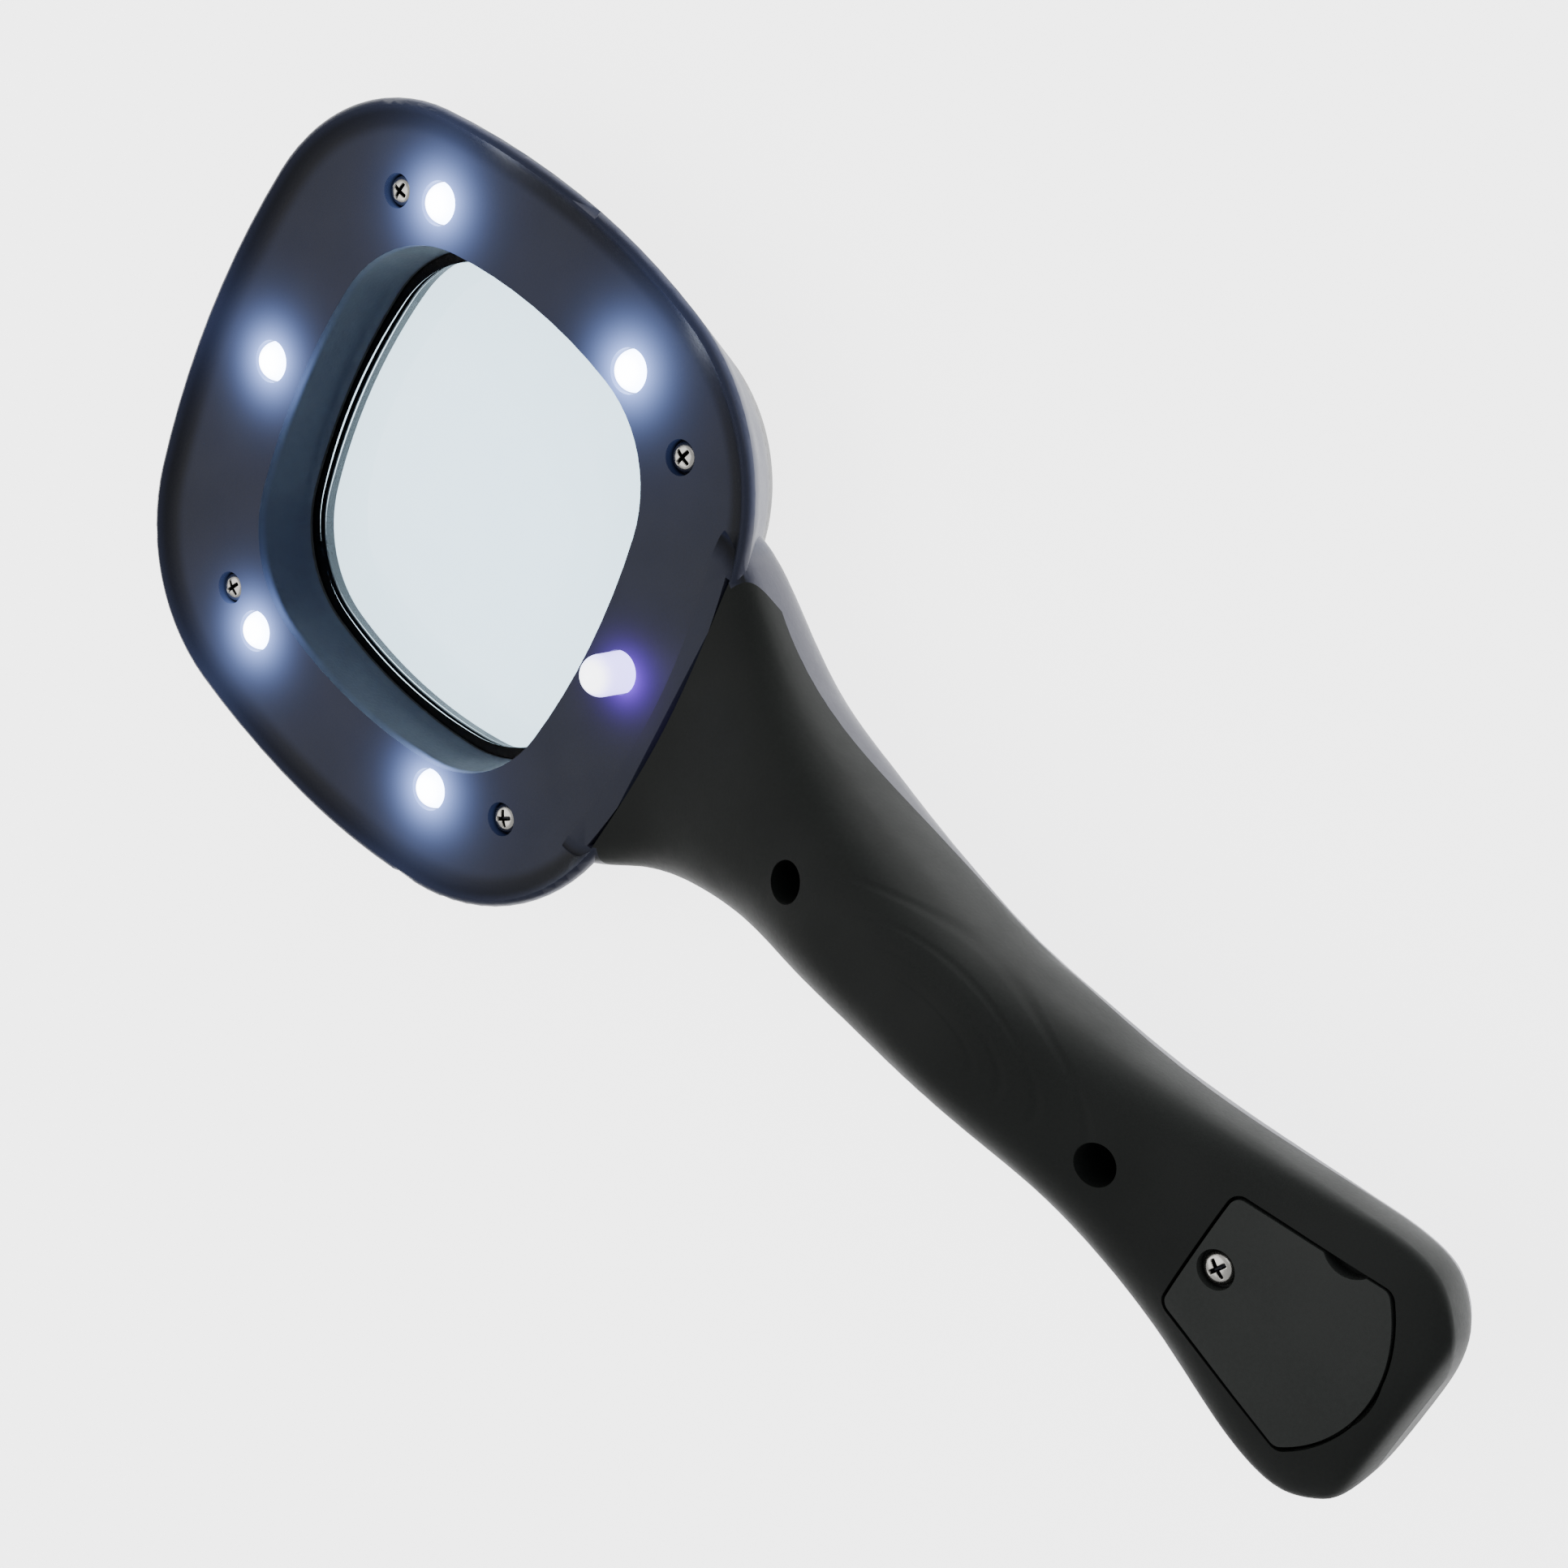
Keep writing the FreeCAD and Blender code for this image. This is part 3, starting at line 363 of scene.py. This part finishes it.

# %% [markdown]
# ## Metals
#
# The screws are bright nickel plate over steel. Turning and tumbling leave very faint scratches,
# which show as roughness rather than colour. A head's recess gets painted shade: its UV map says how
# deep each point is sunk, and the colour darkens with that depth. The cell cans are brushed
# stainless steel, and the contacts are tinned brass.


# %% Metal recipe
def metal(name, dark, light, rough, scratch, sunk=False):
    """Plated metal: scratch is the number of brush lines to the metre; sunk paints shade into a recess."""
    finish = Finish(name)
    stretched = finish.add("ShaderNodeMapping", {}, {0: finish.place(), 3: (1.0, 0.12, 1.0)})
    line = Field(finish, finish.add("ShaderNodeTexNoise", {}, {
        "Vector": stretched.outputs[0], "Scale": scratch, "Detail": 4.0}).outputs[0])
    cloud = finish.noise(900, 2)
    shade = finish.mix(cloud, dark, light)
    if sunk:
        depth = Field(finish, finish.add("ShaderNodeSeparateXYZ", {}, {
            0: finish.add("ShaderNodeUVMap", {"uv_map": "across"}, {}).outputs[0]}).outputs[1])
        # Painted shade: the recess is darkened by its depth.
        shade = finish.mix(finish.step(depth, 0.04, 0.22), shade, colour(26, 27, 31))
    return finish.close({
        "Base Color": shade,
        "Metallic": 1.0,
        "Roughness": rough + (line - 0.5) * 0.22 + (cloud - 0.5) * 0.08,
        "Normal": finish.relief(line * 0.000004, 1.0),
    })


NICKEL = metal("nickel_finish", colour(150, 149, 146), colour(206, 204, 198), 0.24, 9000, sunk=True)
CELL = metal("cell_steel_finish", colour(176, 177, 178), colour(206, 207, 208), 0.3, 5000)
CONTACT = metal("contact_metal_finish", colour(190, 176, 140), colour(214, 202, 168), 0.28, 6000)

# %% [markdown]
# ## Acrylic lens
#
# Acrylic is nearly colourless in the middle, and only its polished faces show, as reflections. It
# is slightly blue here. Very faint moulding ripples in the roughness stop it being perfect.

# %% Lens finish
acrylic = Finish("lens_acrylic_finish")
haze = acrylic.noise(220, 3)
LENS = acrylic.close({
    "Base Color": acrylic.mix(haze, colour(194, 221, 236), colour(202, 227, 240)),
    "Roughness": 0.015 + haze * 0.02,
    "Transmission Weight": 1.0,
    "IOR": 1.49,
})

# %% [markdown]
# ## Lit lamps
#
# Each white lamp is a 5 mm epoxy body that is lit from below. Seen from the end it is blown out to
# white in the middle and falls to blue at its edge. The pieces made below carry a UV map whose first
# number is the distance from the lamp's axis, so the colour follows each dome wherever it stands.


# %% Lamp recipe
def lit(name, middle, edge, strength, body_colour, power):
    """Glowing epoxy: the light's colour runs from middle to edge with the distance from the axis."""
    finish = Finish(name)
    uv = finish.add("ShaderNodeSeparateXYZ", {}, {0: finish.add("ShaderNodeTexCoord", {}, {}).outputs["UV"]})
    away = Field(finish, uv.outputs[0])
    swirl = finish.noise(1400, 2)
    share = finish.step(away ** power + (swirl - 0.5) * 0.12, 0.25, 1.0)
    return finish.close({
        "Base Color": finish.mix(swirl, body_colour, colour(235, 240, 255)),
        "Roughness": 0.12 + swirl * 0.08,
        "Emission Color": finish.mix(share, middle, edge),
        "Emission Strength": strength,
        "Coat Weight": 0.6,
    })


WHITE_LAMP = lit("white_lamp_finish", colour(250, 253, 255), colour(196, 214, 255), 16.0,
                 colour(206, 220, 255), 1.6)
VIOLET_LAMP = lit("uv_lamp_finish", colour(250, 252, 255), colour(180, 170, 255), 5.0,
                  colour(196, 186, 250), 2.0)

# %% [markdown]
# ## Shapes from arrays
#
# A turned piece is a profile carried round an axis. Both parameters live on one grid: rows go along
# the profile and columns go round. The faces are index arithmetic on whole arrays, so nothing loops
# over vertices, and both ends close on a single point.


# %% Surface helpers
def turned(name, centre, profile, columns=64, radius_of=None):
    """Closed surface of revolution.

    A point is centre + (r cos a, r sin a, z), where (r, z) runs along the profile from its lowest
    point on the axis to its highest, and a runs round. The UV map holds (r / widest r, share of the
    profile). With a radius_of, its second number is how far the point was sunk, over the widest r.
    """
    profile = np.array(profile, float)
    angle = np.linspace(0, 2 * np.pi, columns, endpoint=False)
    rows = len(profile)
    radius = profile[1:-1, 0:1] * np.ones((1, columns))
    level = profile[1:-1, 1:2] * np.ones((1, columns))
    if radius_of is not None:
        radius, level = radius_of(radius, level, angle)
    ring = np.stack([radius * np.cos(angle), radius * np.sin(angle), level], axis=2).reshape(-1, 3)
    points = np.vstack([[0, 0, profile[0, 1]], ring, [0, 0, profile[-1, 1]]]) + np.array(centre)
    row, column = np.meshgrid(np.arange(rows - 3), np.arange(columns), indexing="ij")
    nxt = (column + 1) % columns
    quads = np.stack([1 + row * columns + column, 1 + row * columns + nxt,
                      1 + (row + 1) * columns + nxt, 1 + (row + 1) * columns + column], axis=2).reshape(-1, 4)
    here = np.arange(columns)
    after = (here + 1) % columns
    low = np.stack([np.zeros(columns, int), 1 + after, 1 + here], axis=1)
    base = 1 + (rows - 3) * columns
    top = np.stack([np.full(columns, len(points) - 1), base + here, base + after], axis=1)
    widest = profile[:, 0].max()
    away = np.concatenate([[0], radius.ravel() / widest, [0]])
    if radius_of is None:
        share = np.concatenate([[0], np.repeat(np.linspace(0, 1, rows - 2), columns), [1]])
    else:
        sunk = np.repeat(profile[1:-1, 1], columns) - level.ravel()
        share = np.concatenate([[0], sunk / widest, [0.5]])
    return surface(name, points, quads, [low, top], np.stack([away, share], axis=1))


def surface(name, points, quads, fans, uv):
    """Mesh object from points, four-sided faces and three-sided faces, with one UV pair a point."""
    mesh = bpy.data.meshes.new(name)
    faces = quads.tolist() + [face for fan in fans for face in fan.tolist()]
    mesh.from_pydata(points.tolist(), [], faces)
    corners = np.empty(len(mesh.loops), np.int32)
    mesh.loops.foreach_get("vertex_index", corners)
    mesh.uv_layers.new(name="across").data.foreach_set("uv", uv[corners].astype(np.float32).ravel())
    mesh.polygons.foreach_set("use_smooth", np.ones(len(mesh.polygons), bool))
    mesh.update()
    piece = bpy.data.objects.new(name, mesh)
    bpy.context.scene.collection.objects.link(piece)
    return piece


def dress(piece, material, body_name, slot, *nodes):
    """Finish a piece, let it ride with its body, and let it stand for its CAD nodes."""
    piece.data.materials.clear()
    piece.data.materials.append(material)
    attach(piece, body_name)
    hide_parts(*nodes)
    return piece


# %% [markdown]
# ## The lamps
#
# A 5 mm lamp has a straight barrel and a domed end. The engineering model gives its foot, top and
# radius. The profile adds what a real one has: a small foot flange inside the hole, a slight draft
# and a dome that is a little flatter than a ball.


# %% Lamp pieces
UV_FOOT = 0.0043
DOME = 0.92
BARREL = 0.98


def lamp_profile(low, high, radius):
    """Profile from the foot to the tip: straight barrel, then the quarter ellipse (r cos t, 0.92 r sin t)."""
    turn = np.linspace(0, np.pi / 2, 18)
    dome_foot = high - radius * DOME
    barrel = [(0, low), (radius * 0.96, low), (radius, low + 0.0003), (radius, low + 0.001),
              (radius * 0.985, low + 0.0012), (radius * BARREL, dome_foot)]
    dome = np.stack([radius * BARREL * np.cos(turn), dome_foot + radius * DOME * np.sin(turn)], axis=1)
    return barrel + [tuple(p) for p in dome[1:]]


for node in WHITE_LAMPS + ("uv_led",):
    low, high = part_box(node)
    centre = (low + high) / 2
    radius = (high.x - low.x) / 2
    foot = low.z + (UV_FOOT if node == "uv_led" else 0.0)
    piece = turned(node + "_dome", (centre.x, centre.y, 0), lamp_profile(foot, high.z, radius))
    if node == "uv_led":
        dress(piece, VIOLET_LAMP, "magnifier", "uv_lamp", node)
    else:
        dress(piece, WHITE_LAMP, "magnifier", "white_lamp", node)
print("lamps made:", len(WHITE_LAMPS) + 1)

# %% [markdown]
# ## The screws
#
# A pan head is a turned profile, but its cross recess isn't. Instead of cutting one out of the
# other, the head's top is a height field on the same polar grid: the dome's height less a cross that
# narrows as it goes down, as the driver's tip does. The depth comes from the distance to the nearer
# of two bars, with tapered flanks.


# %% Screw pieces
SHANK_R = 0.0009
BAND = 0.0004


def pan_head(low, high, radius):
    """Profile from the tip of the shank, under the head, up its side and in over the dome.

    The side is BAND high. Over it the level at r is high - crown (1 - sqrt(1 - (r / radius) ** 3.2)).
    The last point is the bottom of the recess.
    """
    seat = high - radius * 0.74
    crown = high - seat - BAND
    rim = [(radius - 0.0001 * (1 - math.sin(t)), seat + 0.00008 + t * 0.0001) for t in (0.0, math.pi / 18)]
    inner = np.linspace(radius * 0.97, radius * 0.012, 46)
    top = [(r, high - crown * (1 - math.sqrt(max(0.0, 1 - (r / radius) ** 3.2)))) for r in inner]
    stem = [(0, low), (SHANK_R * 0.7, low), (SHANK_R, low + 0.0005), (SHANK_R, seat), (radius * 0.96, seat)]
    return stem + rim + [(radius, seat + BAND)] + top + [(0, high - radius * 0.5)]


def cross_recess(radius, high, turn):
    """The change to a head's grid: the level drops inside a cross whose flanks taper."""

    def change(r, z, angle):
        px = r * np.cos(angle + turn)
        py = r * np.sin(angle + turn)
        half_wide = radius * 0.135
        reach = radius * 0.62
        depth = radius * 0.5

        def bar(across, length):
            side = np.clip((half_wide - np.abs(across)) / (half_wide * 0.45), 0, 1)
            end = np.clip((reach - np.abs(length)) / (radius * 0.22), 0, 1)
            return side * end

        dip = np.maximum(bar(px, py), bar(py, px))
        on_top = z > high - radius * 0.33
        return r, np.where(on_top, z - dip * depth * (1 - 0.3 * r / radius), z)

    return change


SCREWS = {"bezel_screw_1": 0.5, "bezel_screw_2": 0.15, "bezel_screw_3": 0.9, "bezel_screw_4": 0.3,
          "cover_screw_1": 0.7, "cover_screw_2": 0.2, "door_screw": 0.45}
for node, turn in SCREWS.items():
    low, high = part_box(node)
    centre = (low + high) / 2
    radius = (high.x - low.x) / 2
    recess = cross_recess(radius, high.z, turn)
    piece = turned(node + "_head", (centre.x, centre.y, 0), pan_head(low.z, high.z, radius), 96, recess)
    dress(piece, NICKEL, "door_screw" if node == "door_screw" else "magnifier", "nickel_screw", node)
print("screws made:", len(SCREWS), "faces each:", len(piece.data.polygons))

# %% [markdown]
# ## Smooth housings
#
# The housings come from the engineering model as loose triangles, so light breaks at every facet. A
# copy whose doubled points are merged can be shaded smoothly, while edges that turn by more than
# thirty degrees stay crisp. The copy keeps the exact shape.

# %% Smooth copies
CREASE = math.radians(30)
MERGE_GAP = 0.000002


def smooth_copy(node, material, body_name, slot):
    """Copy of a CAD node with merged points, smooth shading and crisp edges."""
    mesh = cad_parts[node].data.copy()
    mesh.name = node + "_skin"
    work = bmesh.new()
    work.from_mesh(mesh)
    bmesh.ops.remove_doubles(work, verts=work.verts, dist=MERGE_GAP)
    for edge in work.edges:
        edge.smooth = len(edge.link_faces) == 2 and edge.calc_face_angle(0.0) < CREASE
    for face in work.faces:
        face.smooth = True
    work.to_mesh(mesh)
    work.free()
    piece = bpy.data.objects.new(node + "_skin", mesh)
    bpy.context.scene.collection.objects.link(piece)
    return dress(piece, material, body_name, slot, node)


SKINS = (
    ("body_shell", BODY, "magnifier", "body_plastic"),
    ("front_bezel", BEZEL, "magnifier", "bezel_plastic"),
    ("handle_cover", COVER, "magnifier", "cover_plastic"),
    ("battery_door", DOOR, "battery_door", "door_plastic"),
    ("lens", LENS, "magnifier", "lens_acrylic"),
    ("slide_knob", KNOB, "slide_knob", "knob_plastic"),
)
for node, material, body_name, slot in SKINS:
    skin = smooth_copy(node, material, body_name, slot)
    print(skin.name, len(skin.data.polygons), "faces")

# %% [markdown]
# ## Pieces that keep their own mesh
#
# Everything else is hidden inside or is a plain pressed or turned part whose engineering shape is
# already right. Those nodes only get their finish.

# %% Finishes on the remaining nodes
KEPT = {
    "lens_gasket": RUBBER, "led_board": BOARD, "coin_cell_1": CELL, "coin_cell_2": CELL,
    "door_pad": PAD, "battery_cradle": CRADLE, "negative_contact": CONTACT, "positive_contact": CONTACT,
    "switch_body": SWITCH, "switch_terminals": CONTACT, "resistor_1": CHIP, "resistor_2": CHIP,
}
for node, material in KEPT.items():
    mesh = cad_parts[node].data
    mesh.materials.clear()
    mesh.materials.append(material)
print("nodes with their own mesh:", len(KEPT))

# %% [markdown]
# ## Table and light
#
# The object stands on a plain pale sweep under a big soft box, as in a catalogue. Small dark things
# need large lights: what the eye reads on satin plastic is the soft box's reflection, so its size
# and place matter more than its strength.


# %% Table
WHITE = (1.0, 1.0, 1.0, 1.0)
PAPER_GLOW = 3.4
AIR_STRENGTH = 0.7


def sweep(name, half, count):
    """Flat pale sheet: a grid over x and y, dipping by a hair away from the object."""
    u, v = np.meshgrid(np.linspace(-half, half, count), np.linspace(-half, half, count), indexing="ij")
    points = np.stack([u, v, -0.00005 - 0.0004 * (u ** 2 + v ** 2)], axis=2).reshape(-1, 3)
    i, j = np.meshgrid(np.arange(count - 1), np.arange(count - 1), indexing="ij")
    first = i * count + j
    quads = np.stack([first, first + count, first + count + 1, first + 1], axis=2).reshape(-1, 4)
    uv = np.stack([u.ravel(), v.ravel()], axis=1)
    return surface(name, points, quads, [], uv)


table = sweep("table", 2.5, 41)
paper = Finish("table_paper")
fibre = paper.noise(900, 4)
table.data.materials.append(paper.close({
    "Base Color": paper.mix(fibre, colour(246, 246, 247), colour(250, 250, 251)),
    "Roughness": 0.85 + fibre * 0.1,
    "Normal": paper.relief(fibre * 0.00002, 1.0),
    "Emission Color": WHITE,
    "Emission Strength": PAPER_GLOW,
}))


# %% Lights
def soft_box(name, place, aim, width, height, power, tint):
    """Rectangular light at a place, turned towards a point."""
    data = bpy.data.lights.new(name, "AREA")
    data.shape = "RECTANGLE"
    data.size, data.size_y = width, height
    data.energy = power
    data.color = tint
    lamp = bpy.data.objects.new(name, data)
    bpy.context.scene.collection.objects.link(lamp)
    turn = turn_towards(Vector(place), Vector(aim), Vector((0, 1, 0.2)))
    lamp.matrix_world = Matrix.Translation(place) @ turn
    return lamp


soft_box("key_box", (-0.25, 0.45, 0.9), (0, 0, 0), 1.0, 1.0, 5.0, (1.0, 0.99, 0.98))
soft_box("fill_box", (0.9, -0.2, 0.5), (0, 0, 0), 0.9, 0.7, 2.0, (0.96, 0.97, 1.0))
world = bpy.data.worlds.new("studio_air")
world.use_nodes = True
world.node_tree.nodes["Background"].inputs[0].default_value = WHITE
world.node_tree.nodes["Background"].inputs[1].default_value = AIR_STRENGTH
bpy.context.scene.world = world

# %% [markdown]
# ## Close the lesson
#
# The finished pieces must not be larger than the engineering model.

# %% Update the scene
bpy.context.view_layer.update()
